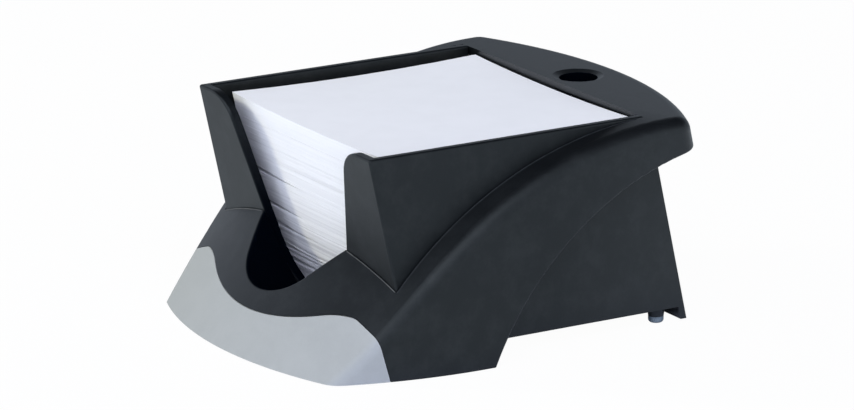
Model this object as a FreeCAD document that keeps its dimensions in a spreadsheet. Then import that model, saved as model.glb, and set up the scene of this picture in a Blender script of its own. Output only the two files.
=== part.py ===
"""Desk memo box: an arched housing round a leaning bin of loose square notes.

Frame: +X to the right seen from the front, +Y to the rear, +Z up, origin on the desk
under the middle of the box. Lengths in millimetres, angles in degrees.
"""
import FreeCAD
import Part
import Sketcher
import math
import os
import re

SIZES = {
    # notes
    "note_width": 90.0,
    "sheet_thickness": 0.1,
    "stack_drop": 1.8,
    "note_side_gap": 4.8,
    "note_rear_gap": 0.7,
    "note_front_gap": 4.45,
    # leaning bin
    "total_height": 69.0,
    "lean_angle": 12.6,
    "bin_rear_y": 46.7,
    "side_wall": 2.8,
    "rear_wall": 2.15,
    "post_wall": 3.0,
    "floor_top": 7.7,
    "floor_thickness": 2.4,
    "heel_height": 1.2,
    "post_width": 16.1,
    "post_round": 11.0,
    "notch_radius": 24.0,
    "notch_axis_height": 33.6,
    "rim_round": 0.7,
    "rebate_gap": 0.6,
    # finger scoop in the housing's nose, rising to the front
    "scoop_radius": 20.0,
    "scoop_axis_height": 29.3,
    "scoop_flare": 29.8,
    "scoop_slope": 24.5,
    "scoop_wall": 3.4,
    "scoop_round": 0.8,
    # arched housing
    "nose_depth": 23.05,
    "nose_angle": 50.03,
    "rim_height": 0.1,
    "crest_lead": 4.4,
    "crown_radius": 140.0,
    "ledge_width": 9.5,
    "side_arc_radius": 140.0,
    "side_arc_run": 61.5,
    "deck_depth": 23.9,
    "rear_radius": 136.0,
    "rear_corner": 6.0,
    "shoulder_radius": 4.5,
    "shell_wall": 2.4,
    "nose_setback": 4.2,
    "band_depth": 8.4,
    "band_foot_run": 62.72,
    "band_crest_run": 7.45,
    "band_round": 0.8,
    "opening_round": 0.4,
    # pen holder in the rear deck
    "pen_radius": 5.9,
    "pen_setback": 8.0,
    "pen_depth": 24.0,
    "cup_wall": 1.7,
    "dimple_radius": 8.2,
    "dimple_depth": 0.9,
    # apron trim on the nose
    "trim_dip_height": 11.5,
    "trim_bend_run": 10.04,
    "trim_peak_inset": 18.93,
    "trim_peak_height": 17.64,
    "trim_shoulder": 25.0,
    "trim_side_run": 27.35,
    "trim_side_angle": 15.9,
    "peg_radius": 1.5,
    "peg_x": 30.0,
    "peg_height": 8.0,
    "peg_tail": 1.6,
    # lugs on the bin, bosses in the housing and the screws that join them
    "lug_thickness": 2.5,
    "lug_length": 8.0,
    "front_lug_inset": 13.0,
    "front_lug_height": 8.5,
    "rear_lug_inset": 24.05,
    "rear_lug_drop": 15.0,
    "boss_radius": 3.0,
    "screw_radius": 1.3,
    "screw_length": 8.0,
    "screw_head_radius": 2.5,
    "screw_head_height": 1.8,
    "screw_slot_width": 0.7,
    "screw_slot_depth": 1.0,
    # studs under the bin and their rubber tips
    "foot_side_inset": 5.1,
    "front_foot_inset": 7.2,
    "rear_foot_inset": 5.05,
    "stud_radius": 2.95,
    "foot_radius": 2.45,
    "foot_height": 2.1,
    "foot_dome": 1.0,
    "stem_radius": 1.2,
    "stem_length": 2.4,
    # clearances
    "fit_gap": 0.15,
    "trim_gap": 0.2,
    "peg_gap": 0.1,
    "overrun": 5.0,
    # shares: trim in the nose wall, start of a peg in the trim, flat and rim of a screw head
    "trim_share": 0.45,
    "peg_root_share": 0.62,
    "head_flat_share": 0.55,
    "head_rim_share": 0.45,
}

# height of each bundle as a share of the stack below its top note, from the floor up
BUNDLE_SHARES = (0.129, 0.05, 0.115, 0.109, 0.092, 0.209, 0.194, 0.102)

WORKED = {
    # bin, with y at the height of its rim
    "lean_run": "tan(lean_angle * 1deg)",
    "lean_sine": "sin(lean_angle * 1deg)",
    "lean_cosine": "cos(lean_angle * 1deg)",
    "bin_inner_half": "note_width / 2 + note_side_gap",
    "bin_half_width": "bin_inner_half + side_wall",
    "bin_front_y": "bin_rear_y - note_width - note_rear_gap - note_front_gap",
    "post_front_y": "bin_front_y - post_wall",
    "bin_back_y": "bin_rear_y + rear_wall",
    "floor_base": "floor_top - floor_thickness",
    "stack_height": "total_height - floor_top - stack_drop - sheet_thickness",
    # notch between the front posts: a line from the round bottom to the rim, touching the round
    "notch_top_x": "bin_half_width - post_width",
    "notch_rise": "total_height - notch_axis_height",
    "post_flare": "acos(notch_radius / hypot(notch_top_x; notch_rise)) - atan(notch_rise / notch_top_x)",
    "notch_low_x": "notch_radius * cos(post_flare)",
    "notch_low_height": "notch_axis_height - notch_radius * sin(post_flare)",
    "post_tangent": "post_round * tan(45deg - post_flare / 2)",
    "notch_high_x": "notch_top_x - post_tangent * sin(post_flare)",
    "notch_high_height": "total_height - post_tangent * cos(post_flare)",
    # finger scoop where it meets the front of the bin
    "scoop_y": "post_front_y + (total_height - scoop_axis_height) * lean_run",
    "scoop_rise": "tan(scoop_slope * 1deg)",
    "scoop_run": "tan(scoop_flare * 1deg)",
    "scoop_base": "scoop_axis_height - 2 * overrun * scoop_rise",
    # housing: the nose is a straight run that meets the arch without a kink
    "half_width": "bin_half_width + ledge_width",
    "front_reach": "nose_depth - post_front_y",
    "rear_reach": "bin_back_y + deck_depth",
    "crest_y": "bin_rear_y - crest_lead",
    "nose_sine": "sin(nose_angle * 1deg)",
    "nose_cosine": "cos(nose_angle * 1deg)",
    "nose_cotangent": "nose_cosine / nose_sine",
    "arch_radius": "((crest_y + front_reach) / nose_cotangent - total_height + rim_height)"
                   " * nose_cosine / (1 - nose_cosine)",
    "nose_top_y": "crest_y - arch_radius * nose_sine",
    "nose_top_height": "total_height - arch_radius * (1 - nose_cosine)",
    "sweep_half": "half_width + overrun",
    "crown_sag": "crown_radius - sqrt(crown_radius ^ 2 - sweep_half ^ 2)",
    # plan of the housing, drawn on the desk and leaned forward as it rises
    "plan_front_y": "-front_reach - overrun",
    "side_arc_y": "side_arc_run - front_reach",
    "plan_rear_y": "rear_reach + total_height * lean_run",
    "rear_centre_y": "plan_rear_y - rear_radius",
    "corner_x": "half_width - rear_corner",
    "corner_y": "rear_centre_y + sqrt((rear_radius - rear_corner) ^ 2 - corner_x ^ 2)",
    "block_rear_y": "plan_rear_y + 2 * overrun",
    "blank_half": "front_reach + plan_rear_y",
    # band: an arc from its foot on the desk to its crest behind the deck
    "band_crest_y": "rear_reach + band_crest_run",
    "band_rise": "total_height - band_depth",
    "band_span": "band_crest_y + front_reach - band_foot_run",
    "band_radius": "(band_span ^ 2 + band_rise ^ 2) / (2 * band_rise)",
    "band_axis_height": "band_rise - band_radius",
    # wavy upper edge of the trim: a dip between two peaks, arcs that meet without a kink
    "trim_peak_x": "half_width - trim_peak_inset",
    "trim_climb": "trim_peak_height - trim_dip_height",
    "trim_bend_share": "1 - trim_bend_run / trim_peak_x",
    "trim_bend_x": "trim_peak_x - trim_bend_run",
    "trim_bend_height": "trim_dip_height + trim_climb * trim_bend_share",
    "trim_both_radii": "(trim_peak_x ^ 2 + trim_climb ^ 2) / (2 * trim_climb)",
    "trim_dip_radius": "trim_both_radii * trim_bend_share",
    "trim_peak_radius": "trim_both_radii - trim_dip_radius",
    "trim_side_y": "trim_side_run - front_reach",
    "trim_side_slope": "tan(trim_side_angle * 1deg)",
    "trim_edge_x": "half_width - shell_wall",
    "trim_edge_height": "trim_peak_height - trim_shoulder"
                        " + sqrt(trim_shoulder ^ 2 - (trim_edge_x - trim_peak_x) ^ 2)",
    # bosses, screws and pegs
    "boss_x": "(bin_half_width + half_width - shell_wall) / 2",
    "rear_lug_height": "total_height - rear_lug_drop",
    "front_lug_y": "post_front_y + (total_height - front_lug_height) * lean_run + front_lug_inset",
    "rear_lug_y": "bin_rear_y + rear_lug_drop * lean_run - rear_lug_inset",
    "peg_sag": "crown_radius - sqrt(crown_radius ^ 2 - peg_x ^ 2)",
    "peg_y": "peg_sag - front_reach + (peg_height - rim_height) * nose_cotangent",
    "peg_root": "trim_share * peg_root_share * (nose_setback + shell_wall * nose_cotangent)",
    "peg_length": "nose_setback + shell_wall * nose_cotangent + peg_tail",
    # feet under the corners of the bin's floor
    "foot_x": "bin_half_width - foot_side_inset",
    "front_foot_y": "post_front_y + (total_height - floor_base) * lean_run + front_foot_inset",
    "rear_foot_y": "bin_rear_y + (total_height - floor_base) * lean_run - rear_foot_inset",
    # pen hole, which leans like the bin
    "pen_y": "bin_back_y + pen_setback",
    "cup_depth": "pen_depth + cup_wall",
}

doc = FreeCAD.newDocument("memo_box")
home = {}


def fill_sheet(label, cells, formula):
    """Put one named value on each row of a sheet."""
    sheet = doc.addObject("Spreadsheet::Sheet", label)
    for row, (alias, content) in enumerate(cells.items(), start=1):
        sheet.set(f"A{row}", alias.replace("_", " "))
        sheet.set(f"B{row}", "=" + full(content) if formula else str(content))
        sheet.setAlias(f"B{row}", alias)
        home[alias] = f"{label}.{alias}"
    doc.recompute()
    return sheet


def full(text):
    """Expression with each value named by its sheet."""
    return re.sub(r"[a-z]\w*", lambda word: home.get(word.group(), word.group()), text)


def value(text):
    """Number that an expression stands for."""
    return float(sizes.evalExpression(full(text)))


def bind(thing, **properties):
    """Tie properties to expressions; a double underscore in a name stands for a dot."""
    for name, text in properties.items():
        thing.setExpression(name.replace("__", "."), full(text))


sizes = fill_sheet("Sizes", SIZES, formula=False)
worked = fill_sheet("Worked", WORKED, formula=True)


def origin_plane(body, role):
    """One of the three base planes of a body."""
    return next(plane for plane in body.Origin.OriginFeatures if plane.Role == role)


def new_body(name):
    """Empty solid of the document."""
    return doc.addObject("PartDesign::Body", name)


def new_sketch(body, name, role, **offset):
    """Sketch on a base plane of its body, moved along its own axes by expressions."""
    sketch = body.newObject("Sketcher::SketchObject", name)
    sketch.AttachmentSupport = [(origin_plane(body, role), "")]
    sketch.MapMode = "FlatFace"
    for axis, text in offset.items():
        bind(sketch, **{f"AttachmentOffset__Base__{axis}": text})
    return sketch


def arc_between(start, end, radius, turn):
    """Arc of less than half a circle that turns left (1) or right (-1) on its way."""
    chord = end - start
    left = FreeCAD.Vector(-chord.y, chord.x, 0).normalize()
    reach = math.sqrt(max(radius ** 2 - chord.Length ** 2 / 4, 0))
    bulge = left * (turn * (reach - radius))
    return Part.Arc(start, (start + end) * 0.5 + bulge, end)


def draw(sketch, corners, closed=True):
    """Lines and arcs through corners, each placed by two expressions.

    A corner is (across, up), or (across, up, radius, turn) where an arc leaves it.
    """
    spots = [FreeCAD.Vector(value(corner[0]), value(corner[1]), 0) for corner in corners]
    first = sketch.GeometryCount
    runs = len(corners) if closed else len(corners) - 1
    begins = []
    for index in range(runs):
        start = spots[index]
        end = spots[(index + 1) % len(spots)]
        if len(corners[index]) > 2:
            radius, turn = corners[index][2:]
            sketch.addGeometry(arc_between(start, end, value(radius), turn))
        else:
            sketch.addGeometry(Part.LineSegment(start, end))
        near = sketch.getPoint(first + index, 1).distanceToPoint(start)
        far = sketch.getPoint(first + index, 2).distanceToPoint(start)
        begins.append(1 if near < far else 2)
    for index in range(runs if closed else runs - 1):
        after = (index + 1) % runs
        ends = (first + index, 3 - begins[index], first + after, begins[after])
        sketch.addConstraint(Sketcher.Constraint("Coincident", *ends))
    for index, corner in enumerate(corners):
        run = min(index, runs - 1)
        point = (first + run, begins[run] if index == run else 3 - begins[run])
        for text, kind, axis in ((corner[0], "DistanceX", -2), (corner[1], "DistanceY", -1)):
            if text == "0":
                sketch.addConstraint(Sketcher.Constraint("PointOnObject", *point, axis))
            else:
                rule = Sketcher.Constraint(kind, -1, 1, *point, value(text))
                sketch.setExpression(f"Constraints[{sketch.addConstraint(rule)}]", full(text))
        if len(corner) > 2:
            rule = Sketcher.Constraint("Radius", first + index, value(corner[2]))
            sketch.setExpression(f"Constraints[{sketch.addConstraint(rule)}]", full(corner[2]))


def both_sides(half):
    """Whole outline from its right half, drawn from the centre line round to the centre line."""
    left = []
    for here, there in zip(half[-2::-1], half[:0:-1]):
        across = "0" if there[0] == "0" else f"-({there[0]})"
        left.append((across, there[1], *here[2:]))
    return half[:-1] + left


def box_corners(left, right, low, high):
    """Corners of an upright rectangle."""
    return [(left, low), (right, low), (right, high), (left, high)]


def grow(body, kind, name, sketch, length=None, side="Symmetric", along=None):
    """Pad or pocket of a sketch, to a length or right through, square to it or along a vector."""
    feature = body.newObject("PartDesign::" + kind, name)
    feature.Profile = sketch
    feature.SideType = side
    if length is None:
        feature.Type = "ThroughAll"
    else:
        bind(feature, Length=length)
    if along:
        feature.UseCustomVector = True
        feature.Direction = FreeCAD.Vector(*[value(text) for text in along])
        for axis, text in zip("xyz", along):
            bind(feature, **{f"Direction__{axis}": text})
    doc.recompute()
    return feature


LEAN = ("0", "-lean_run", "1")


def ridge_names(shape, front_only):
    """Names of the edges where the upper faces turn over into the sides, or the front ones alone."""
    upright_share = 0.4
    names = []
    for number, edge in enumerate(shape.Edges, start=1):
        rises = []
        for face in shape.ancestorsOfType(edge, Part.Face):
            low_u, high_u, low_v, high_v = face.ParameterRange
            rises.append(face.normalAt((low_u + high_u) / 2, (low_v + high_v) / 2).z)
        across = edge.BoundBox.XMin < 0 < edge.BoundBox.XMax
        if abs(min(rises)) < upright_share < max(rises) and not (front_only and across):
            names.append(f"Edge{number}")
    return names


def arch_block(name, setback="0", drop="0", inset="0", shoulder=None, front_only=False):
    """Housing form as a full solid: the arch swept along the crown, cut to the plan."""
    body = new_body(name)
    profile = new_sketch(body, name + "_profile", "YZ_Plane",
                         x=f"crown_sag + {setback}", y=f"-({drop})", z="-sweep_half")
    draw(profile, [
        ("-front_reach", "rim_height"),
        ("nose_top_y", "nose_top_height", "arch_radius", -1),
        ("crest_y", "total_height"),
        ("block_rear_y", "total_height"),
        ("block_rear_y", "rim_height"),
    ])
    crown = new_sketch(body, name + "_crown", "XY_Plane")
    draw(crown, [("-sweep_half", "crown_sag", "crown_radius", 1), ("sweep_half", "crown_sag")], closed=False)
    doc.recompute()
    sweep = body.newObject("PartDesign::AdditivePipe", name + "_sweep")
    sweep.Profile = profile
    sweep.Spine = (crown, ["Edge1"])
    sweep.Mode = "Fixed"
    doc.recompute()
    plan = new_sketch(body, name + "_plan", "XY_Plane", y="overrun * lean_run", z="-overrun")
    draw(plan, box_corners("-blank_half", "blank_half", "-blank_half", "blank_half"))
    draw(plan, both_sides(plan_half(f"({inset})", front_only)))
    pocket = grow(body, "Pocket", name + "_trimmed", plan, along=LEAN)
    if shoulder:
        fillet = body.newObject("PartDesign::Fillet", name + "_shoulder")
        fillet.Base = (pocket, ridge_names(pocket.Shape, front_only))
        bind(fillet, Radius=shoulder)
        doc.recompute()
    return body


def plan_half(inset, front_only):
    """Right half of the housing's plan, drawn in by an inset; the front alone stops behind the side arc."""
    side_x = f"half_width - {inset}"
    front_x = (f"half_width - side_arc_radius + sqrt((side_arc_radius - {inset}) ^ 2"
               " - (side_arc_y - plan_front_y) ^ 2)")
    front = [
        ("0", "plan_front_y"),
        (front_x, "plan_front_y", f"side_arc_radius - {inset}", 1),
        (side_x, "side_arc_y"),
    ]
    if front_only:
        return front + [(side_x, "side_arc_y + overrun"), ("0", "side_arc_y + overrun")]
    growth = f"(rear_radius - {inset}) / (rear_radius - rear_corner)"
    return front + [
        (side_x, "corner_y", f"rear_corner - {inset}", 1),
        (f"corner_x * {growth}", f"rear_centre_y + (corner_y - rear_centre_y) * {growth}",
         f"rear_radius - {inset}", 1),
        ("0", f"plan_rear_y - {inset}"),
    ]


def join(name, *solids):
    """Several solids as one."""
    union = doc.addObject("Part::MultiFuse", name)
    union.Shapes = list(solids)
    return union


def cut(name, base, tool):
    """Base without the tool."""
    rest = doc.addObject("Part::Cut", name)
    rest.Base = base
    rest.Tool = tool
    return rest


def overlap(name, first, second):
    """What two solids share."""
    shared = doc.addObject("Part::Common", name)
    shared.Base = first
    shared.Tool = second
    return shared


def cylinder(name, radius, height, x="0", y="0", z="0", turn=None):
    """Round bar from a base point, upright or turned about the X direction."""
    bar = doc.addObject("Part::Cylinder", name)
    bind(bar, Radius=radius, Height=height)
    seat(bar, x, y, z, turn)
    return bar


def seat(thing, x, y, z, turn=None):
    """Place a solid at a point and turn it about the X direction."""
    if turn:
        thing.Placement.Rotation = FreeCAD.Rotation(FreeCAD.Vector(1, 0, 0), value(turn))
        bind(thing, Placement__Rotation__Angle=f"({turn}) * 1deg")
    bind(thing, Placement__Base__x=x, Placement__Base__y=y, Placement__Base__z=z)


def leaning(place, height):
    """Depth at a height of a plane that leans with the bin, from its depth at the rim."""
    return f"({place}) + (total_height - ({height})) * lean_run"


def leaning_corners(front, rear, low, high):
    """Corners of an upright section between two leaning planes."""
    return [(leaning(front, low), low), (leaning(rear, low), low),
            (leaning(rear, high), high), (leaning(front, high), high)]


def leaning_block(name, front, rear, low, high, width):
    """Solid between two leaning planes and two heights."""
    body = new_body(name)
    section = new_sketch(body, name + "_section", "YZ_Plane")
    draw(section, leaning_corners(front, rear, low, high))
    grow(body, "Pad", name + "_pad", section, width)
    return body


def trim_region(name, gap):
    """Space in front of the nose that the apron trim fills: below a wavy edge, ending at a leaning plane."""
    body = new_body(name)
    front = new_sketch(body, name + "_front", "XZ_Plane")
    draw(front, both_sides([
        ("0", "-overrun"),
        (f"trim_edge_x + {gap}", "-overrun"),
        (f"trim_edge_x + {gap}", f"trim_edge_height + {gap}", f"trim_shoulder + {gap}", 1),
        ("trim_peak_x", f"trim_peak_height + {gap}", f"trim_peak_radius + {gap}", 1),
        ("trim_bend_x", f"trim_bend_height + {gap}", f"trim_dip_radius - {gap}", -1),
        ("0", f"trim_dip_height + {gap}"),
    ]))
    grow(body, "Pad", name + "_pad", front, "front_reach + overrun", side="One side")
    ending = new_sketch(body, name + "_ending", "YZ_Plane")
    draw(ending, [
        (f"trim_side_y + {gap} + 2 * overrun * trim_side_slope", "-2 * overrun"),
        ("overrun", "-2 * overrun"),
        ("overrun", "total_height"),
        (f"trim_side_y + {gap} - total_height * trim_side_slope", "total_height"),
    ])
    grow(body, "Pocket", name + "_end_pocket", ending)
    return body


def shared_edges(shape, first, second):
    """Numbers of the edges of a shape that lie on the faces of two other solids."""
    skins = [Part.Compound(solid.Shape.Faces) for solid in (first, second)]
    touch = 0.001
    numbers = []
    for number, edge in enumerate(shape.Edges, start=1):
        middle = edge.valueAt((edge.FirstParameter + edge.LastParameter) / 2)
        if all(Part.Vertex(middle).distToShape(skin)[0] < touch for skin in skins):
            numbers.append(number)
    return numbers


def bin_rim_names(shape):
    """Names of the bin's edges to round: its top rim and the outline of its front posts."""
    rim = value("total_height")
    front = value("post_front_y")
    slope = value("lean_run")
    inner = value("bin_inner_half")
    touch = 0.001
    names = []
    for number, edge in enumerate(shape.Edges, start=1):
        ends = [vertex.Point for vertex in edge.Vertexes]
        on_top = all(abs(point.z - rim) < touch for point in ends)
        on_front = all(abs(point.y - front - (rim - point.z) * slope) < touch for point in ends)
        on_wall = on_top and all(abs(point.x) > inner - touch for point in ends)
        lengthwise = abs(ends[0].y - ends[1].y) > value("note_width")
        above = max(point.z for point in ends) > value("floor_top")
        if (on_front and above) or (on_wall and lengthwise):
            names.append(f"Edge{number}")
    return names


def add_circles(sketch, spots, radius):
    """Circles of one size at places given by expressions."""
    for across, up in spots:
        centre = FreeCAD.Vector(value(across), value(up), 0)
        ring = sketch.addGeometry(Part.Circle(centre, FreeCAD.Vector(0, 0, 1), value(radius)))
        for text, kind in ((across, "DistanceX"), (up, "DistanceY")):
            rule = Sketcher.Constraint(kind, -1, 1, ring, 3, value(text))
            sketch.setExpression(f"Constraints[{sketch.addConstraint(rule)}]", full(text))
        rule = Sketcher.Constraint("Radius", ring, value(radius))
        sketch.setExpression(f"Constraints[{sketch.addConstraint(rule)}]", full(radius))


def turned(name, corners):
    """Round solid from half of its section, turned about the upright axis."""
    body = new_body(name)
    section = new_sketch(body, name + "_section", "XZ_Plane")
    draw(section, corners)
    doc.recompute()
    spin = body.newObject("PartDesign::Revolution", name + "_turn")
    spin.Profile = section
    spin.ReferenceAxis = (section, ["V_Axis"])
    doc.recompute()
    return body


SIDES = {"left": "-", "right": ""}
LUGS = {"front": ("front_lug_y", "front_lug_height"), "rear": ("rear_lug_y", "rear_lug_height")}
FEET = {"front": "front_foot_y", "rear": "rear_foot_y"}
nodes = {}

# housing form, its inside, and the two lines that the trim follows in the nose wall
form = arch_block("form", shoulder="shoulder_radius")
hollow = arch_block("hollow", setback="nose_setback", drop="shell_wall", inset="shell_wall")
trim_core = arch_block(
    "trim_core", setback="nose_setback * trim_share", drop="shell_wall * trim_share",
    inset="shell_wall * trim_share", shoulder="shoulder_radius - shell_wall * trim_share", front_only=True)
recess_core = arch_block(
    "recess_core", setback="nose_setback * trim_share + trim_gap", drop="shell_wall * trim_share",
    inset="shell_wall * trim_share + trim_gap",
    shoulder="shoulder_radius - shell_wall * trim_share - trim_gap", front_only=True)

# band: the arch cut out below the sides and rear, right across the box
band_space = new_body("band_space")
band_side = new_sketch(band_space, "band_side", "YZ_Plane")
add_circles(band_side, [("band_crest_y", "band_axis_height")], "band_radius")
grow(band_space, "Pad", "band_pad", band_side, "4 * half_width")
walls = cut("walls", form, join("inside", hollow, band_space))


def scoop_bar(name, radius):
    """Finger scoop as a solid bar that rises to the front: round below, flared above."""
    body = new_body(name)
    mouth = new_sketch(body, name + "_mouth", "XZ_Plane", z="-(scoop_y + 2 * overrun)")
    side_x = f"({radius}) * cos(scoop_flare * 1deg)"
    side_height = f"scoop_base - ({radius}) * sin(scoop_flare * 1deg)"
    draw(mouth, both_sides([
        ("0", f"scoop_base - ({radius})", radius, 1),
        (side_x, side_height),
        (f"{side_x} + total_height * scoop_run", f"{side_height} + total_height"),
        ("0", f"{side_height} + total_height"),
    ]))
    grow(body, "Pad", name + "_pad", mouth, "front_reach", side="One side", along=("0", "-1", "scoop_rise"))
    return body


# pen cup, scoop liner and screw bosses inside the housing
pen_cup = cylinder("pen_cup", "pen_radius + cup_wall", "cup_depth + overrun",
                   y="pen_y + cup_depth * lean_sine", z="total_height - cup_depth * lean_cosine",
                   turn="lean_angle")
fittings = [pen_cup, scoop_bar("scoop_liner", "scoop_radius + scoop_wall")]
drillings = []
for end, (lug_y, lug_height) in LUGS.items():
    for side, sign in SIDES.items():
        fittings.append(cylinder(f"{end}_{side}_boss", "boss_radius", "total_height", x=sign + "boss_x",
                                 y=lug_y, z=f"{lug_height} + lug_thickness + fit_gap"))
        drillings.append(cylinder(f"{end}_{side}_pilot", "screw_radius + peg_gap", "screw_length + peg_gap",
                                  x=sign + "boss_x", y=lug_y, z=lug_height))
fitted = join("fitted", walls, overlap("inner_fittings", form, join("all_fittings", *fittings)))

# openings in the housing
bin_opening = leaning_block("bin_opening", "post_front_y - fit_gap", "bin_rear_y", "-overrun",
                            "total_height + overrun", "2 * (bin_half_width + fit_gap)")
recess = cut("recess", trim_region("recess_region", "trim_gap"), recess_core)
pen_bore = cylinder("pen_bore", "pen_radius", "pen_depth + overrun",
                    y="pen_y + pen_depth * lean_sine", z="total_height - pen_depth * lean_cosine",
                    turn="lean_angle")
dimple = doc.addObject("Part::Cone", "dimple")
bind(dimple, Radius1="2 * pen_radius - dimple_radius", Radius2="2 * dimple_radius - pen_radius",
     Height="3 * dimple_depth")
seat(dimple, "0", "pen_y", "total_height - 2 * dimple_depth")
for side, sign in SIDES.items():
    drillings.append(cylinder(f"{side}_peg_hole", "peg_radius + peg_gap", "peg_length + overrun",
                              x=sign + "peg_x", y="peg_y", z="peg_height", turn="-90"))
scoop = scoop_bar("scoop", "scoop_radius")
openings = join("openings", bin_opening, scoop, recess, pen_bore, dimple, *drillings)
open_shell = cut("open_shell", fitted, openings)
doc.recompute()
arch_shell = doc.addObject("Part::Fillet", "arch_shell")
arch_shell.Base = open_shell
rounds = []
for tool, size, least_run in ((scoop, "scoop_round", "0"), (band_space, "band_round", "0"),
                              (bin_opening, "opening_round", "note_width / 2")):
    for number in shared_edges(open_shell.Shape, form, tool):
        if open_shell.Shape.Edges[number - 1].BoundBox.YLength >= value(least_run):
            rounds.append((number, value(size), value(size)))
arch_shell.Edges = rounds
nodes["arch_shell"] = arch_shell

# apron trim with two pegs through the nose wall
apron = cut("apron", overlap("apron_blank", form, trim_region("apron_region", "0")), trim_core)
pegs = [cylinder(f"{side}_peg", "peg_radius", "peg_length - peg_root", x=sign + "peg_x",
                 y="peg_y + peg_root", z="peg_height", turn="-90") for side, sign in SIDES.items()]
nodes["front_trim"] = join("front_trim", apron, *pegs)

# leaning bin: floor, walls, heel under the rear wall, notch between the front posts
bin_body = leaning_block("bin_body", "post_front_y", "bin_back_y", "floor_base", "total_height",
                         "2 * bin_half_width")
heel = new_sketch(bin_body, "heel", "YZ_Plane")
draw(heel, leaning_corners("bin_rear_y", "bin_back_y", "heel_height", "floor_top"))
grow(bin_body, "Pad", "heel_pad", heel, "2 * bin_half_width")
cavity = new_sketch(bin_body, "cavity", "YZ_Plane")
draw(cavity, leaning_corners("bin_front_y", "bin_rear_y", "floor_top", "total_height + overrun"))
grow(bin_body, "Pocket", "cavity_pocket", cavity, "2 * bin_inner_half")
notch = new_sketch(bin_body, "notch", "XZ_Plane")
draw(notch, both_sides([
    ("0", "notch_axis_height - notch_radius", "notch_radius", 1),
    ("notch_low_x", "notch_low_height"),
    ("notch_high_x", "notch_high_height", "post_round", -1),
    ("notch_top_x + post_tangent", "total_height"),
    ("notch_top_x + post_tangent", "total_height + overrun"),
    ("0", "total_height + overrun"),
]))
front_cut = grow(bin_body, "Pocket", "notch_pocket", notch, "front_reach", side="One side")
front_cut.Reversed = True
rebate = new_sketch(bin_body, "rebate", "YZ_Plane")
draw(rebate, box_corners("bin_rear_y - fit_gap", "bin_back_y + overrun",
                         "total_height - shell_wall - rebate_gap", "total_height + overrun"))
rebated = grow(bin_body, "Pocket", "rebate_pocket", rebate)
rounded = bin_body.newObject("PartDesign::Fillet", "bin_rounding")
rounded.Base = (rebated, bin_rim_names(rebated.Shape))
bind(rounded, Radius="rim_round")
doc.recompute()
for end, (lug_y, lug_height) in LUGS.items():
    lugs = new_sketch(bin_body, f"{end}_lugs", "XY_Plane", z=lug_height)
    for side, sign in SIDES.items():
        reach = [f"{sign}(bin_half_width - side_wall / 2)", f"{sign}(boss_x + screw_head_radius)"]
        if sign:
            reach.reverse()
        draw(lugs, box_corners(*reach, f"{lug_y} - lug_length / 2", f"{lug_y} + lug_length / 2"))
    grow(bin_body, "Pad", f"{end}_lug_pad", lugs, "lug_thickness", side="One side")
    holes = new_sketch(bin_body, f"{end}_lug_holes", "XY_Plane", z=lug_height)
    add_circles(holes, [(sign + "boss_x", lug_y) for sign in SIDES.values()], "screw_radius + peg_gap")
    grow(bin_body, "Pocket", f"{end}_lug_pocket", holes, "2 * lug_thickness + overrun")

# studs under the floor and the rubber tips pressed into them
studs = []
stem_holes = []
for end, foot_y in FEET.items():
    for side, sign in SIDES.items():
        stud = doc.addObject("Part::Cone", f"{end}_{side}_stud")
        bind(stud, Radius1="foot_radius", Radius2="stud_radius", Height="floor_base - foot_height + fit_gap")
        seat(stud, sign + "foot_x", foot_y, "foot_height")
        studs.append(stud)
        stem_holes.append(cylinder(f"{end}_{side}_stem_hole", "stem_radius + peg_gap",
                                   "overrun + stem_length + fit_gap", x=sign + "foot_x", y=foot_y,
                                   z="foot_height - overrun"))
        foot = turned(f"{end}_{side}_foot", [
            ("0", "0"),
            ("foot_radius - foot_dome", "0", "foot_dome", 1),
            ("foot_radius", "foot_dome"),
            ("foot_radius", "foot_height"),
            ("stem_radius", "foot_height"),
            ("stem_radius", "foot_height + stem_length"),
            ("0", "foot_height + stem_length"),
        ])
        seat(foot, sign + "foot_x", foot_y, "0")
        nodes[foot.Label] = foot
nodes["paper_bin"] = cut("paper_bin", join("bin_on_studs", bin_body, *studs), join("stem_spaces", *stem_holes))

# screws from below, through the lugs into the bosses
for end, (lug_y, lug_height) in LUGS.items():
    for side, sign in SIDES.items():
        screw = turned(f"{end}_{side}_screw", [
            ("0", "-screw_head_height"),
            ("screw_head_radius * head_flat_share", "-screw_head_height"),
            ("screw_head_radius", "-screw_head_height * head_rim_share"),
            ("screw_head_radius", "0"),
            ("screw_radius", "0"),
            ("screw_radius", "screw_length - screw_radius"),
            ("0", "screw_length"),
        ])
        slots = new_sketch(screw, f"{end}_{side}_slots", "XY_Plane", z="-screw_head_height")
        draw(slots, box_corners("-screw_head_radius", "screw_head_radius",
                                "-screw_slot_width / 2", "screw_slot_width / 2"))
        grow(screw, "Pocket", f"{end}_{side}_slot_pocket", slots, "2 * screw_slot_depth")
        seat(screw, sign + "boss_x", lug_y, lug_height)
        nodes[screw.Label] = screw

# stack of notes in bundles, each leaning like the bin, and the loose note on top
stack = ("bin_rear_y - note_rear_gap - note_width", "bin_rear_y - note_rear_gap")
levels = ["floor_top"]
for number, share in enumerate(BUNDLE_SHARES, start=1):
    levels.append(f"{levels[-1]} + {share} * stack_height")
    nodes[f"note_bundle_{number}"] = leaning_block(f"note_bundle_{number}", *stack, *levels[-2:], "note_width")
nodes["top_note"] = leaning_block("top_note", *stack, levels[-1], f"{levels[-1]} + sheet_thickness", "note_width")

doc.recompute()
for thing in doc.Objects:
    if "Invalid" in thing.State or "Error" in thing.State:
        raise ValueError(f"{thing.Label} did not recompute")
os.makedirs("parts", exist_ok=True)
for name, node in nodes.items():
    if node.Shape.isNull() or not node.Shape.isValid() or len(node.Shape.Solids) != 1:
        raise ValueError(f"{name} is not one sound solid")
    node.Shape.exportStep(f"parts/{name}.step")
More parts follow.
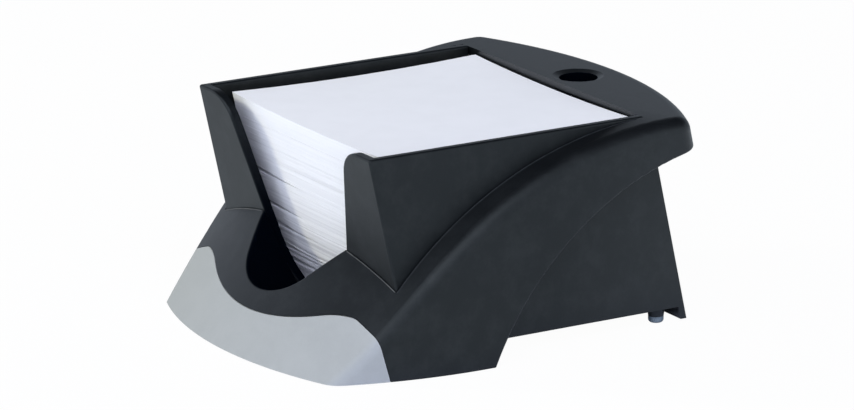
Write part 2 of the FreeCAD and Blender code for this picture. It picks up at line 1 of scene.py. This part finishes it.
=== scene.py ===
"""Desk memo box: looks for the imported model, with its stack of loose notes sheet by sheet."""
import functools
import math
import typing
import bpy
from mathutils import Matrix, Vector
from mathutils.bvhtree import BVHTree


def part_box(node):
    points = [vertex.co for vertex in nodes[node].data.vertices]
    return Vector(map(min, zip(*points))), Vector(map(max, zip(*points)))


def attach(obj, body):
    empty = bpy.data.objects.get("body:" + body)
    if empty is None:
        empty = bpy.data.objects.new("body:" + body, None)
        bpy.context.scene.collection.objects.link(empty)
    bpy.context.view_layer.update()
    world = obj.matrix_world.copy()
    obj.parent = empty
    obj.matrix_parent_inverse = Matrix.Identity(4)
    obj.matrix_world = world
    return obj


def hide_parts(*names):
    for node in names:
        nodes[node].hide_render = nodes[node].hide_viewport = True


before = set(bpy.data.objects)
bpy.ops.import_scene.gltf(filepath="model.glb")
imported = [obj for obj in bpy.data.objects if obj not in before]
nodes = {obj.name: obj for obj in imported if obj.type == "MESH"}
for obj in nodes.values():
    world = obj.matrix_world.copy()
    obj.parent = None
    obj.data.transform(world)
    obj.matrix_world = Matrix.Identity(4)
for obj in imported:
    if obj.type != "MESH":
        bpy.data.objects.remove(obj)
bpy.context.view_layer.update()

MM = 0.001
scene = bpy.context.scene


class Value:
    """One socket of a node tree, with arithmetic that adds Math nodes."""

    def __init__(self, tree, socket):
        self.tree = tree
        self.socket = socket

    def math(self, operation, *others):
        return self.tree.node("ShaderNodeMath", {"operation": operation}, {
            place: other for place, other in enumerate((self, *others))})

    def math_after(self, operation, first):
        """The same with this value in the second place."""
        return self.tree.node("ShaderNodeMath", {"operation": operation}, {0: first, 1: self})

    def __add__(self, other):
        return self.math("ADD", other)

    def __radd__(self, other):
        return self.math("ADD", other)

    def __sub__(self, other):
        return self.math("SUBTRACT", other)

    def __rsub__(self, other):
        return self.math_after("SUBTRACT", other)

    def __mul__(self, other):
        return self.math("MULTIPLY", other)

    def __rmul__(self, other):
        return self.math("MULTIPLY", other)

    def __truediv__(self, other):
        return self.math("DIVIDE", other)

    def __rtruediv__(self, other):
        return self.math_after("DIVIDE", other)

    def __neg__(self):
        return self.math("MULTIPLY", -1.0)

    def floor(self):
        return self.math("FLOOR")

    def size(self):
        return self.math("ABSOLUTE")

    def root(self):
        return self.math("SQRT")

    def most(self, other):
        return self.math("MAXIMUM", other)

    def above(self, limit):
        return self.math("GREATER_THAN", limit)

    def between(self, low, high):
        """0 below low, 1 above high, and smooth between them."""
        return self.tree.node("ShaderNodeMapRange", {"interpolation_type": "SMOOTHSTEP"}, {
            "Value": self, "From Min": low, "From Max": high})

    def swing(self, width):
        """Noise from 0 to 1 as a change of half that width up or down."""
        return (self - 0.5) * width


class Tree:
    """A node tree that is filled by one method."""

    def __init__(self, tree):
        self.tree = tree
        self.tree.nodes.clear()

    def node(self, kind, settings=None, sockets=None, give=0):
        """Adds a node: its settings first, then values or links of its sockets; returns one output."""
        node = self.tree.nodes.new(kind)
        for name, setting in (settings or {}).items():
            setattr(node, name, setting)
        for name, value in (sockets or {}).items():
            socket = node.inputs[name]
            if isinstance(value, Value):
                self.tree.links.new(value.socket, socket)
            else:
                socket.default_value = value
        if give is None:
            return node
        return Value(self, node.outputs[give])

    def mix(self, factor, first, second):
        """Two colours mixed by a factor."""
        node = self.node("ShaderNodeMix", {"data_type": "RGBA"}, {"Factor": factor}, None)
        for socket, colour in zip([s for s in node.inputs if s.type == "RGBA"], (first, second)):
            if isinstance(colour, Value):
                self.tree.links.new(colour.socket, socket)
            else:
                socket.default_value = (*colour, 1.0)
        return Value(self, [s for s in node.outputs if s.type == "RGBA"][0])

    def noise(self, where, per_metre, detail=2.0, rough=0.5):
        """Noise from 0 to 1 with about so many spots in a metre."""
        return self.node("ShaderNodeTexNoise", None, {
            "Vector": where, "Scale": per_metre, "Detail": detail, "Roughness": rough})

    def place(self):
        return self.node("ShaderNodeTexCoord", give="Object")

    def split(self, vector):
        """The three parts of a vector."""
        parts = self.node("ShaderNodeSeparateXYZ", None, {0: vector}, None)
        return [Value(self, parts.outputs[axis]) for axis in "XYZ"]

    def rays(self, *kinds):
        """1 for a ray of each of these kinds."""
        path = self.node("ShaderNodeLightPath", give=None)
        return [Value(self, path.outputs[f"Is {kind} Ray"]) for kind in kinds]

    def close(self, kind, made):
        """Adds the output node and returns it, with what was made on its first socket."""
        output = self.node(kind, give=None)
        self.tree.links.new(made.socket, output.inputs[0])
        return output


class Finish(Tree):
    """A surface material with one Principled shader."""

    def __init__(self, name, **constants):
        self.material = bpy.data.materials.new(name)
        self.material.use_nodes = True
        super().__init__(self.material.node_tree)
        self.shader = self.node("ShaderNodeBsdfPrincipled", None, constants, None)
        self.surface = Value(self, self.shader.outputs[0])
        self.output = self.close("ShaderNodeOutputMaterial", self.surface)

    def drive(self, **sockets):
        """Links what changes over the surface."""
        for name, value in sockets.items():
            self.tree.links.new(value.socket, self.shader.inputs[name.replace("_", " ")])

    def paint_shade(self, share, colour):
        """Mixes in a dull dark surface by a share, as painted shade."""
        dull = self.node("ShaderNodeBsdfPrincipled", None, {
            "Base Color": (*colour, 1.0), "Roughness": 1.0, "Specular IOR Level": 0.0})
        mixed = self.node("ShaderNodeMixShader", None, {0: share, 1: self.surface, 2: dull})
        self.tree.links.new(mixed.socket, self.output.inputs["Surface"])

    def relief(self, height, strength, depth):
        """Bump from a height between 0 and 1, that many metres deep."""
        self.drive(Normal=self.node("ShaderNodeBump", None, {
            "Strength": strength, "Distance": depth, "Height": height}))
        return self.material


def linear(value):
    """Linear light of a screen value of 0 to 255, by the usual curve of screens."""
    share = value / 255
    return share / 12.92 if value < 10 else ((share + 0.055) / 1.055) ** 2.4


def shade(red, green, blue):
    """Linear colour from screen values of 0 to 255."""
    return tuple(linear(value) for value in (red, green, blue))


# the box's own sizes that its finishes follow
HEIGHT = 69.0 * MM
LEAN_RUN = math.tan(math.radians(12.6))
POST_FACE = -51.83 * MM
TROUGH_EDGE = (0.1 * MM, 0.6 * MM)
SCOOP_RADIUS = 20.0 * MM
SCOOP_AXIS_HEIGHT = 29.3 * MM
SCOOP_AXIS_PLACE = -42.58 * MM
SCOOP_SLOPE_RUN = math.tan(math.radians(24.5))
SCOOP_FLARE = math.radians(29.8)
SCOOP_END = (-39.6 * MM, -37.6 * MM)
NOTCH_RADIUS = 24.0 * MM
NOTCH_AXIS_HEIGHT = 33.6 * MM
NOTCH_FLARE = math.radians(17.7)
NOTCH_END = (-48.4 * MM, -48.2 * MM)
# heights over which the notch's painted shade lightens upward
NOTCH_DUSK = (28.0 * MM, 72.0 * MM)
NOTCH_LIT_SHARE = 0.6
PEN_PLACE = 56.85 * MM
PEN_EDGE = (6.05 * MM, 6.3 * MM)


def in_trough(across, over, radius, flare):
    """1 inside or on the walls of a round trough that flares above its axis."""
    across = across.size()
    wall = across * math.cos(flare) - over * math.sin(flare)
    bowl = (across * across + over * over).root()
    flared = (over + across * math.tan(flare)).above(0.0)
    reach = bowl + (wall - bowl) * flared
    return 1.0 - reach.between(*(radius + edge for edge in TROUGH_EDGE))


def in_scoop(across, depth, height):
    """Mask of painted shade in the finger scoop in the nose, which rises to the front."""
    over = height - (SCOOP_AXIS_HEIGHT + (SCOOP_AXIS_PLACE - depth) * SCOOP_SLOPE_RUN)
    ahead = 1.0 - depth.between(*SCOOP_END)
    return in_trough(across, over, SCOOP_RADIUS, SCOOP_FLARE) * ahead


def in_notch(across, depth, height):
    """Mask of painted shade in the notch between the front posts, darkest low down."""
    rim_depth = depth - (HEIGHT - height) * LEAN_RUN
    ahead = 1.0 - rim_depth.between(*NOTCH_END)
    low = 1.0 - height.between(*NOTCH_DUSK) * NOTCH_LIT_SHARE
    return in_trough(across, height - NOTCH_AXIS_HEIGHT, NOTCH_RADIUS, NOTCH_FLARE) * ahead * low


def in_pen_hole(across, depth, height):
    """Mask of painted shade in the pen hole in the deck, which leans like the bin."""
    aside = depth - (PEN_PLACE + (HEIGHT - height) * LEAN_RUN)
    return 1.0 - (across * across + aside * aside).root().between(*PEN_EDGE)


# painted shade: near black mixed into the plastic in the scoop, the notch and the pen hole
PAINTED_HOLLOW_SHADE = shade(2, 4, 9)
SPECULAR_TINT = (0.86, 0.95, 0.98)
COAT_TINT = (0.96, 0.98, 1.0)
CLOUDS_PER_METRE = 95.0
COARSE_GRAIN_SIZE = 6.0
FINE_TINT_SHARE = 0.35
FINE_RELIEF_SHARE = 0.7
# coat weight: random gloss clouds, and a painted sheen that grows to the rear
CLOUD_POLISH = 0.6
REAR_PAINTED_SHEEN = 1.05
REAR_PAINTED_SHEEN_RUN = (0.0, 70.0 * MM)
GRAIN_DEPTH = 0.12 * MM


def moulded_plastic(name, dark, light, grain, roughness, specular, gloss_patches_and_sheen=0.0, hollows=()):
    """Spark-eroded plastic: fine grain in relief, clouds in colour and gloss, with a painted sheen
    growing to the rear, and painted shade in its hollows.
    """
    plastic = Finish(name, **{
        "Specular IOR Level": specular, "Specular Tint": (*SPECULAR_TINT, 1.0),
        "Coat Roughness": 0.42, "Coat IOR": 1.45, "Coat Tint": (*COAT_TINT, 1.0)})
    where = plastic.place()
    fine = plastic.noise(where, grain, detail=3.0, rough=0.6)
    coarse = plastic.noise(where, grain / COARSE_GRAIN_SIZE)
    clouds = plastic.noise(where, CLOUDS_PER_METRE, detail=6.0, rough=0.7)
    tint = fine * FINE_TINT_SHARE + clouds * (1.0 - FINE_TINT_SHARE)
    plastic.drive(
        Base_Color=plastic.mix(tint.between(0.3, 0.7), dark, light),
        Roughness=roughness + clouds.swing(0.2) + fine.swing(0.12))
    across, depth, height = plastic.split(where)
    if gloss_patches_and_sheen:
        cloudy = clouds.between(0.42, 0.72) * CLOUD_POLISH
        # painted sheen: coat weight that grows towards the rear
        rear = depth.between(*REAR_PAINTED_SHEEN_RUN) * REAR_PAINTED_SHEEN
        plastic.drive(Coat_Weight=(cloudy + rear) * gloss_patches_and_sheen)
    # painted shade in the hollows: a dull near-black surface mixed in by their masks
    if hollows:
        inside = [hollow(across, depth, height) for hollow in hollows]
        plastic.paint_shade(functools.reduce(Value.most, inside), PAINTED_HOLLOW_SHADE)
    grains = fine * FINE_RELIEF_SHARE + coarse * (1.0 - FINE_RELIEF_SHARE)
    return plastic.relief(grains, strength=0.35, depth=GRAIN_DEPTH)


DUST_DEPTH = 0.1 * MM
TURNING_DEPTH = 0.04 * MM
TURNING_STRETCH = (1.0, 1.0, 14.0)
FIBRE_DEPTH = 0.04 * MM


def foot_rubber():
    """Grey rubber, dusty and a little scuffed."""
    rubber = Finish("grey_foot_rubber", **{"Specular IOR Level": 0.3})
    where = rubber.place()
    dust = rubber.noise(where, per_metre=900.0, detail=3.0)
    scuffs = rubber.noise(where, per_metre=260.0)
    rubber.drive(
        Base_Color=rubber.mix(scuffs.between(0.35, 0.7), shade(92, 106, 116), shade(112, 124, 132)),
        Roughness=0.62 + dust.swing(0.3))
    return rubber.relief(dust, strength=0.3, depth=DUST_DEPTH)


def screw_zinc():
    """Zinc-plated steel with the marks of turning."""
    zinc = Finish("zinc_screw_steel", Metallic=1.0)
    where = zinc.place()
    spangle = zinc.noise(where, per_metre=1500.0)
    stretched = zinc.node("ShaderNodeMapping", None, {"Vector": where, "Scale": TURNING_STRETCH})
    turning = zinc.noise(stretched, per_metre=700.0)
    zinc.drive(
        Base_Color=zinc.mix(spangle, shade(176, 178, 176), shade(200, 202, 204)),
        Roughness=0.26 + turning * 0.2)
    return zinc.relief(turning, strength=0.2, depth=TURNING_DEPTH)


def note_paper():
    """White writing paper; the cut edges take each sheet's own shade, partly random tone and partly
    painted shade of the gaps between sheets.
    """
    paper = Finish("white_note_paper", **{"Specular IOR Level": 0.2})
    where = paper.place()
    fibre = paper.noise(where, per_metre=2200.0, detail=4.0, rough=0.65)
    cloud = paper.noise(where, per_metre=130.0)
    sheet = paper.node("ShaderNodeAttribute", {"attribute_name": "sheet_shade"}, give="Fac")
    _, _, upward = paper.split(paper.node("ShaderNodeNewGeometry", give="Normal"))
    edge = 1.0 - upward.size().between(0.2, 0.8)
    mottle = (cloud + fibre * 0.6).between(0.55, 1.05)
    page = paper.mix(mottle, shade(238, 239, 243), shade(240, 241, 245))
    # cut edges: random tone per sheet, with dark clumps that also stand for painted shade between sheets
    cut = paper.mix(sheet, shade(176, 177, 185), shade(239, 240, 244))
    paper.drive(Base_Color=paper.mix(edge, page, cut), Roughness=0.82 + fibre.swing(0.2))
    return paper.relief(fibre, strength=0.15, depth=FIBRE_DEPTH)


BLACK = {
    "dark": shade(12, 14, 16), "light": shade(18, 20, 22),
    "grain": 2600.0, "roughness": 0.41, "specular": 0.4, "gloss_patches_and_sheen": 0.35,
}
SILVER = {
    "dark": shade(155, 158, 158), "light": shade(162, 165, 165),
    "grain": 3200.0, "roughness": 0.46, "specular": 0.35,
}
FINISHES = {
    "paper_bin": moulded_plastic("black_bin_plastic", hollows=(in_notch,), **BLACK),
    "arch_shell": moulded_plastic("black_housing_plastic", hollows=(in_scoop, in_pen_hole), **BLACK),
    "front_trim": moulded_plastic("silver_apron_plastic", **SILVER),
    "foot": foot_rubber(),
    "screw": screw_zinc(),
}
white_paper = note_paper()
for name, node in nodes.items():
    finish = FINISHES.get(name) or FINISHES.get(name.split("_")[-1])
    if finish:
        node.data.materials.clear()
        node.data.materials.append(finish)


NOTE_SIDE = 90.0 * MM
SHEET_PITCH = 0.1 * MM
PAPER_THICKNESS = 0.085 * MM
WEDGE_REACH = 48.0 * MM
SLAB_POINTS = {"Vertices X": 9, "Vertices Y": 7, "Vertices Z": 2}
CLUMP_SPREAD = 4.0
OWN_SHIFT_SHARE = 0.3
OWN_SHADE_SHARE = 0.2
HUNG_FROM_SHARE = 0.8
HUNG_BLEND_SHARE = 0.02
WEDGE_SLACK_SHARE = 0.001
TURN_PER_METRE = 6.0
SIDE_LOSS_SHARE = 2.6


class SheetStack(Tree):
    """Geometry Nodes tree: one bundle of loose sheets, each a thin slab a little out of line."""

    INPUTS = (
        ("Sheets", "Int"), ("Side", "Float"), ("Thickness", "Float"), ("Pitch", "Float"),
        ("Lean", "Float"), ("First", "Vector"), ("Loose", "Float"), ("Set back", "Float"),
        ("Shade low", "Float"), ("Shade high", "Float"), ("Wedge", "Float"), ("Wedge from", "Float"),
        ("Sag below", "Float"), ("Sag above", "Float"), ("Clump", "Float"), ("Seed", "Int"),
        ("Paper", "Material"),
    )

    def __init__(self):
        self.group = bpy.data.node_groups.new("loose_sheets", "GeometryNodeTree")
        super().__init__(self.group)
        self.inputs = {}
        face = self.group.interface
        for name, kind in self.INPUTS:
            socket = face.new_socket(name, in_out="INPUT", socket_type="NodeSocket" + kind)
            self.inputs[name] = socket.identifier
        face.new_socket("Sheets made", in_out="OUTPUT", socket_type="NodeSocketGeometry")
        self.source = self.node("NodeGroupInput", give=None)

    def given(self, name):
        return Value(self, self.source.outputs[name])

    def vector(self, x=0.0, y=0.0, z=0.0):
        return self.node("ShaderNodeCombineXYZ", None, {"X": x, "Y": y, "Z": z})

    def chance(self, low, high, of, shift):
        """Random number for each sheet or clump, the same in every run; the shift keeps draws apart."""
        return self.node("FunctionNodeRandomValue", {"data_type": "FLOAT"}, {
            2: low, 3: high, "ID": of, "Seed": self.given("Seed") + shift}, give=1)

    def bend(self, half):
        """Rise of each point: a wedge under the front left corner, and a sag between raised corners."""
        across, depth, height = self.split(self.node("GeometryNodeInputPosition"))
        _, first_depth, first_height = self.split(self.given("First"))
        over = height - first_height
        along = depth - first_depth + over * self.given("Lean")
        share = (over / self.given("Pitch") + 0.5).floor() / self.given("Sheets")
        near_left = 1.0 - ((across + half) / WEDGE_REACH).between(0.0, 1.0)
        near_front = 1.0 - ((along + half) / WEDGE_REACH).between(0.0, 1.0)
        start = self.given("Wedge from")
        lifted = (1.0 - share) / (1.0 - start) * share.above(start - WEDGE_SLACK_SHARE)
        wedge = self.given("Wedge") * lifted * near_left * near_left * near_front
        corner = (across / half) * (across / half) * (along / half) * (along / half)
        sag = self.given("Sag below") + (self.given("Sag above") - self.given("Sag below")) * share
        return wedge - sag * (1.0 - corner)

    def shades(self, clump, index):
        """Shade of each sheet's cut edge: its clump's, and a little of its own; the dark clumps are
        partly painted shade of the gaps between sheets.
        """
        low, high = self.given("Shade low"), self.given("Shade high")
        own = self.chance(-OWN_SHADE_SHARE, OWN_SHADE_SHARE, index, 9)
        return self.chance(low, high, clump, 8) + own * (high - low)

    def make(self):
        """Fills the tree: a line of points, moved a little each, with a slab on every point."""
        index = self.node("GeometryNodeInputIndex")
        pitch, loose, side = (self.given(name) for name in ("Pitch", "Loose", "Side"))
        line = self.node("GeometryNodeMeshLine", {"mode": "OFFSET"}, {
            "Count": self.given("Sheets"), "Start Location": self.given("First"),
            "Offset": self.vector(y=-(pitch * self.given("Lean")), z=pitch)})
        clump = ((index + self.chance(0.0, CLUMP_SPREAD, index, 1)) / self.given("Clump")).floor()
        own_aside = self.chance(-OWN_SHIFT_SHARE, OWN_SHIFT_SHARE, index, 3)
        aside = self.chance(-1.0, 1.0, clump, 2) * loose + own_aside * loose
        own_deep = self.chance(0.0, OWN_SHIFT_SHARE, index, 5)
        deep = self.chance(0.0, 1.0, clump, 4) * loose + own_deep * loose
        turn = self.chance(-1.0, 1.0, clump, 6) * loose * TURN_PER_METRE
        picked = (self.chance(0.0, 1.0, clump, 7) - HUNG_FROM_SHARE).between(0.0, HUNG_BLEND_SHARE)
        hung = picked * self.given("Set back")
        moved = self.node("GeometryNodeSetPosition", None, {
            "Geometry": line, "Offset": self.vector(aside, deep + hung * 0.5)})
        number = {"data_type": "FLOAT", "domain": "POINT"}
        marked = self.node("GeometryNodeStoreNamedAttribute", number, {
            "Geometry": moved, "Name": "sheet_shade", "Value": self.shades(clump, index)})
        slab = self.node("GeometryNodeMeshCube", None, {
            "Size": self.vector(side, side, self.given("Thickness")), **SLAB_POINTS}, give="Mesh")
        sheets = self.node("GeometryNodeInstanceOnPoints", None, {
            "Points": marked, "Instance": slab, "Rotation": self.vector(z=turn),
            "Scale": self.vector(1.0, 1.0 - hung / side, 1.0)})
        whole = self.node("GeometryNodeRealizeInstances", None, {"Geometry": sheets})
        bent = self.node("GeometryNodeSetPosition", None, {
            "Geometry": whole, "Offset": self.vector(z=self.bend(side / 2.0))})
        done = self.node("GeometryNodeSetMaterial", None, {
            "Geometry": bent, "Material": self.given("Paper")})
        self.close("NodeGroupOutput", done)
        return self


class BundleLook(typing.NamedTuple):
    """Looks of one bundle: lengths in millimetres, shades from 0 to 1, and sheets in a clump."""
    loose: float
    set_back: float
    shade_low: float
    shade_high: float
    wedge: float = 0.0
    wedge_from_share: float = 0.0
    sag_below: float = 0.0
    sag_above: float = 0.0
    clump: float = 5.0


TOP_SAG = 1.0
TOP_NOTE_LOOK = BundleLook(0.02, 0.0, 0.9, 1.0, sag_below=TOP_SAG, sag_above=TOP_SAG)
# from the floor up; the cut edges are darker towards the bottom
BUNDLE_LOOKS = (
    BundleLook(0.22, 2.4, 0.1, 0.9, wedge=0.5, clump=8.0),
    BundleLook(0.18, 2.2, 0.15, 1.0, wedge=0.8, clump=7.0),
    BundleLook(0.14, 1.4, 0.3, 1.0, wedge=1.6, clump=6.0),
    BundleLook(0.07, 0.2, 0.7, 1.0, wedge=2.0),
    BundleLook(0.08, 0.4, 0.7, 1.0, wedge=1.7),
    BundleLook(0.05, 0.15, 0.88, 1.0, wedge=1.6, wedge_from_share=0.4),
    BundleLook(0.04, 0.15, 0.92, 1.0, wedge=0.4),
    BundleLook(0.03, 0.1, 0.94, 1.0, sag_above=TOP_SAG),
)
sheet_stack = SheetStack().make()


def plain_mesh(maker):
    """The evaluated mesh of an object that is needed only to make it."""
    scene.collection.objects.link(maker)
    graph = bpy.context.evaluated_depsgraph_get()
    mesh = bpy.data.meshes.new_from_object(maker.evaluated_get(graph))
    bpy.data.objects.remove(maker)
    return mesh


def piece(name, mesh):
    """A finished piece, in its place."""
    made = bpy.data.objects.new(name, mesh)
    scene.collection.objects.link(made)
    return made


def sheets_for(name, body, look, seed):
    """Loose sheets in the place of one block of notes."""
    low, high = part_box(name)
    count = max(1, round((high.z - low.z) / SHEET_PITCH))
    pitch = (high.z - low.z) / count
    first_z = low.z + pitch / 2
    first_y = (low.y + high.y) / 2 + ((low.z + high.z) / 2 - first_z) * LEAN_RUN
    settings = {
        "Sheets": count, "Side": NOTE_SIDE - SIDE_LOSS_SHARE * look.loose * MM,
        "Thickness": PAPER_THICKNESS, "Pitch": pitch, "Lean": LEAN_RUN, "First": (0.0, first_y, first_z),
        "Loose": look.loose * MM, "Set back": look.set_back * MM,
        "Shade low": look.shade_low, "Shade high": look.shade_high,
        "Wedge": look.wedge * MM, "Wedge from": look.wedge_from_share,
        "Sag below": look.sag_below * MM, "Sag above": look.sag_above * MM,
        "Clump": look.clump, "Seed": seed, "Paper": white_paper,
    }
    maker = bpy.data.objects.new(name + "_maker", bpy.data.meshes.new(name + "_maker"))
    modifier = maker.modifiers.new("loose_sheets", "NODES")
    modifier.node_group = sheet_stack.group
    for label, setting in settings.items():
        modifier[sheet_stack.inputs[label]] = setting
    sheets = piece(name + "_sheets", plain_mesh(maker))
    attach(sheets, body)
    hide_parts(name)


SEED_STEP = 10
TOP_NOTE_SEED = 7
for number, look in enumerate(BUNDLE_LOOKS, start=1):
    sheets_for(f"note_bundle_{number}", "note_stack", look, SEED_STEP * number)
sheets_for("top_note", "top_note", TOP_NOTE_LOOK, TOP_NOTE_SEED)


LIP_RADIUS = 0.17 * MM
LIP_STEPS = 32
LIP_INNER = 26.2 * MM
LIP_OUTER = 52.4 * MM
LIP_SIDE = 53.2 * MM
LIP_SIDE_FROM = (52.6 * MM, 52.9 * MM)
LIP_FRONT = -42.0 * MM
LIP_REAR = 44.0 * MM
RAY_RISE = 10.0 * MM
LIP_DEPTH = POST_FACE - RAY_RISE * LEAN_RUN
EDGE_NOISE_DEPTH = 0.03 * MM


def painted_highlight_edge():
    """Edge of the plastic with a pale painted highlight, brightest at the front and dimmer along the
    sides.
    """
    highlight_finish = Finish("painted_highlight_plastic_edge", **{"Specular IOR Level": 0.4})
    where = highlight_finish.place()
    edge_noise = highlight_finish.noise(where, per_metre=420.0, detail=3.0)
    pale_blend = edge_noise.between(0.3, 0.7)
    across, _, _ = highlight_finish.split(where)
    # painted highlight: pale at the feet of the posts, dimmer along the walls of the bin
    front = highlight_finish.mix(pale_blend, shade(62, 64, 66), shade(92, 93, 92))
    sides = highlight_finish.mix(pale_blend, shade(26, 30, 33), shade(38, 42, 45))
    highlight_finish.drive(
        Base_Color=highlight_finish.mix(across.size().between(*LIP_SIDE_FROM), front, sides),
        Roughness=0.5 + edge_noise.swing(0.2))
    return highlight_finish.relief(edge_noise, strength=0.2, depth=EDGE_NOISE_DEPTH)


def opening_lips():
    """Thin round lips on the housing, along the feet of the two front posts and the walls of the bin."""
    surface = BVHTree.FromObject(nodes["arch_shell"], bpy.context.evaluated_depsgraph_get())
    path = bpy.data.curves.new("opening_lips", "CURVE")
    path.dimensions = "3D"
    path.bevel_depth = LIP_RADIUS
    path.bevel_resolution = 2
    path.use_fill_caps = True
    shares = [step / LIP_STEPS for step in range(LIP_STEPS + 1)]
    along_posts = Vector((0.0, LEAN_RUN, -1.0)).normalized()
    straight_down = Vector((0.0, 0.0, -1.0))
    for side in (-1, 1):
        feet = [(side * (LIP_INNER + (LIP_OUTER - LIP_INNER) * share), LIP_DEPTH) for share in shares]
        walls = [(side * LIP_SIDE, LIP_FRONT + (LIP_REAR - LIP_FRONT) * share) for share in shares]
        for starts, down in ((feet, along_posts), (walls, straight_down)):
            hits = [surface.ray_cast(Vector((*start, HEIGHT + RAY_RISE)), down)[0] for start in starts]
            spots = [spot for spot in hits if spot]
            line = path.splines.new("POLY")
            line.points.add(len(spots) - 1)
            for point, spot in zip(line.points, spots):
                point.co = (*spot, 1.0)
    mesh = plain_mesh(bpy.data.objects.new("opening_lips_maker", path))
    mesh.materials.clear()
    # the lips carry a painted highlight
    mesh.materials.append(painted_highlight_edge())
    lips = piece("opening_lips", mesh)
    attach(lips, "housing")


opening_lips()

WHITE = (1.0, 1.0, 1.0)
FLOOR_REACH = 6.0
FLOOR_COLOUR = (0.75, 0.78, 0.86)
FLOOR_MIRRORED = (0.68, 0.74, 0.8)
FLOOR_SEEN_SHARE = 0.97
FLOOR_MIRRORED_SHARE = 0.9
FOOTPRINT = (60.0 * MM, 70.0 * MM)
FOOTPRINT_EDGE = (-10.0 * MM, 25.0 * MM)


def pale_ground():
    """Pale floor: near white to the camera, a little less in reflections, and matt under the part."""
    ground = bpy.data.materials.new("pale_floor")
    ground.use_nodes = True
    tree = Tree(ground.node_tree)
    seen, glossy, through = tree.rays("Camera", "Glossy", "Transmission")
    across, depth, _ = tree.split(tree.place())
    beside, behind = (part.size() - half for part, half in zip((across, depth), FOOTPRINT))
    clear = beside.most(behind).between(*FOOTPRINT_EDGE)
    share = (seen.most(through) * FLOOR_SEEN_SHARE).most(glossy * clear * FLOOR_MIRRORED_SHARE)
    matt = tree.node("ShaderNodeBsdfDiffuse", None, {"Color": (*FLOOR_COLOUR, 1.0)})
    white = tree.node("ShaderNodeEmission", None, {"Color": tree.mix(glossy, WHITE, FLOOR_MIRRORED)})
    mixed = tree.node("ShaderNodeMixShader", None, {0: share, 1: matt, 2: white})
    tree.close("ShaderNodeOutputMaterial", mixed)
    return ground


def studio_floor():
    mesh = bpy.data.meshes.new("floor")
    corners = [(x * FLOOR_REACH, y * FLOOR_REACH, 0.0) for x, y in ((-1, -1), (1, -1), (1, 1), (-1, 1))]
    mesh.from_pydata(corners, [], [(0, 1, 2, 3)])
    mesh.materials.append(pale_ground())
    piece("floor", mesh)


FRONT_LIGHT = (0.86, 0.92, 1.06)
REAR_LEFT_LIGHT = (0.3, 0.34, 0.39)
REAR_RIGHT_LIGHT = (0.66, 0.72, 0.77)
OVERHEAD_DARK = (0.02, 0.022, 0.026)
OVERHEAD_LIGHT = (1.9, 2.0, 2.18)
OVERHEAD_REAR_LOSS_SHARE = 0.6
FRONT_TO_REAR_SHARES = (-0.9, 0.9)
REAR_LEFT_TO_RIGHT_SHARES = (-0.2, 0.8)
FRONT_RIGHT_SHARES = (0.38, 0.66)
OVERHEAD_REAR_SHARES = (-0.5, 0.3)
WALL_TOP_SHARES = (0.45, 0.57)
WALL_TOP_TILT_SHARE = 0.1


def studio_surround():
    """Walls bright in front and dimmer behind, dark above but for the front right; camera sees white."""
    world = bpy.data.worlds.new("studio")
    scene.world = world
    world.use_nodes = True
    tree = Tree(world.node_tree)
    seen, through = tree.rays("Camera", "Transmission")
    across, depth, rise = tree.split(tree.node("ShaderNodeTexCoord", give="Generated"))
    rear = tree.mix(across.between(*REAR_LEFT_TO_RIGHT_SHARES), REAR_LEFT_LIGHT, REAR_RIGHT_LIGHT)
    walls = tree.mix(depth.between(*FRONT_TO_REAR_SHARES), FRONT_LIGHT, rear)
    front_right = (across - depth).between(*FRONT_RIGHT_SHARES)
    kept = 1.0 - depth.between(*OVERHEAD_REAR_SHARES) * OVERHEAD_REAR_LOSS_SHARE
    overhead = tree.mix(front_right * kept, OVERHEAD_DARK, OVERHEAD_LIGHT)
    above_walls = (rise + depth * WALL_TOP_TILT_SHARE).between(*WALL_TOP_SHARES)
    around = tree.mix(above_walls, walls, overhead)
    surround = tree.node("ShaderNodeBackground", None, {
        "Color": tree.mix(seen.most(through), around, WHITE), "Strength": 1.0})
    tree.close("ShaderNodeOutputWorld", surround)


class Lamp(typing.NamedTuple):
    """Round soft lamp: degrees to the right of the front and above the floor, metres, watts."""
    name: str
    azimuth: float
    elevation: float
    size: float
    watts: float
    colour: tuple


LAMPS = (
    Lamp("key_light", -42.0, 30.0, 0.14, 4.7, (1.0, 0.96, 0.7)),
    Lamp("fill_light", 71.0, 36.0, 1.0, 7.4, (0.77, 0.79, 1.0)),
)
LAMP_DISTANCE = 1.1
LAMP_AIM = Vector((0.0, 0.0, 35.0 * MM))


def studio_lamps():
    for lamp in LAMPS:
        bulb = bpy.data.lights.new(lamp.name, "AREA")
        bulb.shape = "DISK"
        bulb.size = lamp.size
        bulb.energy = lamp.watts
        bulb.color = lamp.colour
        light = bpy.data.objects.new(lamp.name, bulb)
        light.visible_glossy = False
        scene.collection.objects.link(light)
        turn, rise = math.radians(lamp.azimuth), math.radians(lamp.elevation)
        back = Vector((math.sin(turn) * math.cos(rise), -math.cos(turn) * math.cos(rise), math.sin(rise)))
        light.location = LAMP_AIM + back * LAMP_DISTANCE
        light.rotation_euler = (-back).to_track_quat("-Z", "Y").to_euler()


SENSOR_WIDTH = 36.0
FOCAL_LENGTH = 236.4
CAMERA_PLACE = (1.4448, -0.87695, 0.5211)
CAMERA_FORWARD = Vector((-0.8213, 0.4990, -0.2766))


def photo_camera():
    """Camera at the photograph's angle, on a picture of 854 by 410."""
    lens = bpy.data.cameras.new("photo_camera")
    lens.sensor_width = SENSOR_WIDTH
    lens.lens = FOCAL_LENGTH
    camera = bpy.data.objects.new("photo_camera", lens)
    scene.collection.objects.link(camera)
    camera.location = CAMERA_PLACE
    camera.rotation_euler = CAMERA_FORWARD.to_track_quat("-Z", "Y").to_euler()
    scene.camera = camera


studio_floor()
studio_surround()
studio_lamps()
photo_camera()
scene.view_settings.view_transform = "Standard"
